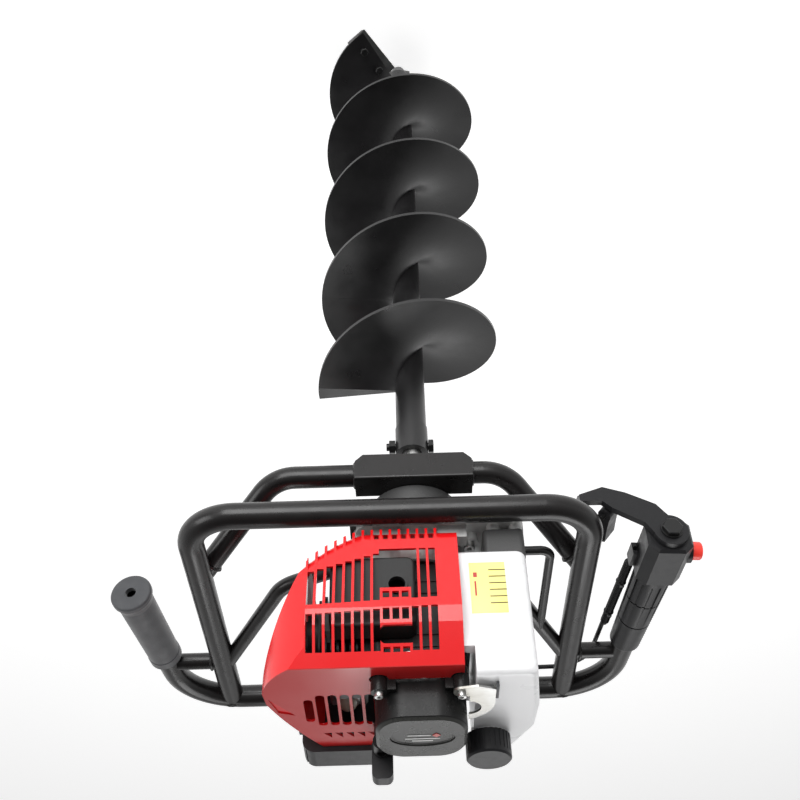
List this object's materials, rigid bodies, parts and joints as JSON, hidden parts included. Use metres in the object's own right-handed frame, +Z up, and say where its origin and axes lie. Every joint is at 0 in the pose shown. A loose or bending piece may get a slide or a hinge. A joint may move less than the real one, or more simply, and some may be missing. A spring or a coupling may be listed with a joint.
{
  "type": "ice fishing auger",
  "caption": "One-person petrol auger: helical drill bit under a geared two-stroke engine in a bent-tube frame with side grips.",
  "frame": {"origin": "tip of the pilot point, on the bit's axis", "axes": "+Z up along the bit towards the engine, -Y towards the side that carries the guard plate, +X towards the rubber grip"},
  "size_m": [0.5869, 0.3955, 1.062],
  "materials": {
    "frame_paint": "gloss",
    "bit_paint": "satin",
    "tool_steel": "satin",
    "bright_steel": "satin",
    "black_steel": "satin",
    "engine_black": "matte",
    "gear_steel": "satin",
    "zinc_plate": "satin",
    "cast_alloy": "matte",
    "dark_casting": "satin",
    "rubber_black": "matte",
    "plastic_black": "satin",
    "recoil_grey": "gloss",
    "exhaust_black": "matte",
    "plug_porcelain": "gloss",
    "cover_red": "gloss",
    "button_red": "gloss",
    "tank_white": "satin"
  },
  "bodies": {
    "powerhead": {"front_loop": "frame_paint", "handlebar": "frame_paint", "pad_bar": "frame_paint", "guard_plate": "frame_paint", "mount_plate": "frame_paint", "frame_struts": "frame_paint", "tank_stay": "frame_paint", "left_grip": "rubber_black", "throttle_grip": "plastic_black", "throttle_head": "plastic_black", "trigger_guard": "plastic_black", "guard_bolt_and_pin": "black_steel", "throttle_cable": "plastic_black", "gearbox_case": "dark_casting", "gearbox_cover": "cast_alloy", "case_bolts": "bright_steel", "gearbox_bearings": "bright_steel", "shaft_seal": "rubber_black", "clutch_housing": "cast_alloy", "crankcase": "engine_black", "crank_bearings": "bright_steel", "cylinder": "engine_black", "spark_plug": "plug_porcelain", "plug_cap": "rubber_black", "muffler": "exhaust_black", "intake_spacer": "plastic_black", "carburettor": "cast_alloy", "air_filter_box": "plastic_black", "ignition_coil": "plastic_black", "engine_shroud": "cover_red", "recoil_housing": "recoil_grey", "recoil_screws": "bright_steel", "fuel_tank": "tank_white", "tank_bracket": "zinc_plate", "tank_cradle": "dark_casting"},
    "bit": {"flighting": "bit_paint", "bit_tube": "bit_paint", "bit_coupler": "bit_paint", "coupler_bolt": "black_steel", "cutter_blade": "tool_steel", "blade_bolts": "black_steel", "pilot_point": "tool_steel", "output_shaft": "bright_steel", "output_gear": "gear_steel"},
    "layshaft_body": {"layshaft": "gear_steel", "layshaft_gear": "gear_steel"},
    "input_body": {"clutch_drum": "gear_steel", "input_pinion": "gear_steel"},
    "crank_body": {"crankshaft": "bright_steel", "flywheel": "cast_alloy", "clutch_shoes": "gear_steel"},
    "piston_body": {"piston": "cast_alloy", "connecting_rod": "gear_steel"},
    "pulley_body": {"recoil_pulley": "plastic_black"},
    "starter_body": {"starter_handle": "plastic_black"},
    "cap_body": {"fuel_cap": "plastic_black"},
    "trigger_body": {"throttle_trigger": "plastic_black"},
    "button_body": {"stop_button": "button_red"},
    "choke_body": {"choke_lever": "plastic_black"}
  },
  "joints": [
    {"name": "bit_spin", "type": "hinge", "parent": "powerhead", "child": "bit", "pos_m": [0, 0, 0.8], "axis": [0, 0, 1], "continuous": true},
    {"name": "layshaft_spin", "type": "hinge", "parent": "powerhead", "child": "layshaft_body", "pos_m": [0, 0.0451, 0.83], "axis": [0, 0, 1], "continuous": true},
    {"name": "input_spin", "type": "hinge", "parent": "powerhead", "child": "input_body", "pos_m": [0, 0, 0.86], "axis": [0, 0, 1], "continuous": true},
    {"name": "crank_spin", "type": "hinge", "parent": "powerhead", "child": "crank_body", "pos_m": [0, 0, 0.955], "axis": [0, 0, 1], "continuous": true},
    {"name": "piston_stroke", "type": "slide", "parent": "powerhead", "child": "piston_body", "axis": [1, 0, 0], "range_m": [-0.032, 0]},
    {"name": "starter_pull", "type": "slide", "parent": "powerhead", "child": "starter_body", "axis": [0, 1, 0], "range_m": [0, 0.7], "stiffness_N_per_m": 20, "springref_m": -0.3},
    {"name": "pulley_spin", "type": "hinge", "parent": "powerhead", "child": "pulley_body", "pos_m": [0, 0, 1.029], "axis": [0, 0, 1], "range_deg": [-5, 1600]},
    {"name": "cap_lift", "type": "slide", "parent": "powerhead", "child": "cap_body", "axis": [0, 0, 1], "range_m": [0, 0.05]},
    {"name": "trigger_squeeze", "type": "hinge", "parent": "powerhead", "child": "trigger_body", "pos_m": [-0.19012, -0.01592, 0.829], "axis": [0.6201, -0.0546, 0.7826], "range_deg": [0, 22], "stiffness_Nm_per_rad": 0.5, "springref_deg": -22.92},
    {"name": "stop_press", "type": "slide", "parent": "powerhead", "child": "button_body", "axis": [0.9961, -0.0877, 0], "range_m": [0, 0.003], "stiffness_N_per_m": 400, "springref_m": -0.004},
    {"name": "choke_turn", "type": "hinge", "parent": "powerhead", "child": "choke_body", "pos_m": [0.1125, 0.108, 0.965], "axis": [1, 0, 0], "range_deg": [0, 70]}
  ],
  "couplings": [
    {"joint": "layshaft_spin", "follows": "bit_spin", "ratio": -5},
    {"joint": "input_spin", "follows": "bit_spin", "ratio": 25},
    {"joint": "pulley_spin", "follows": "starter_pull", "rad_per_m": 39.216}
  ]
}
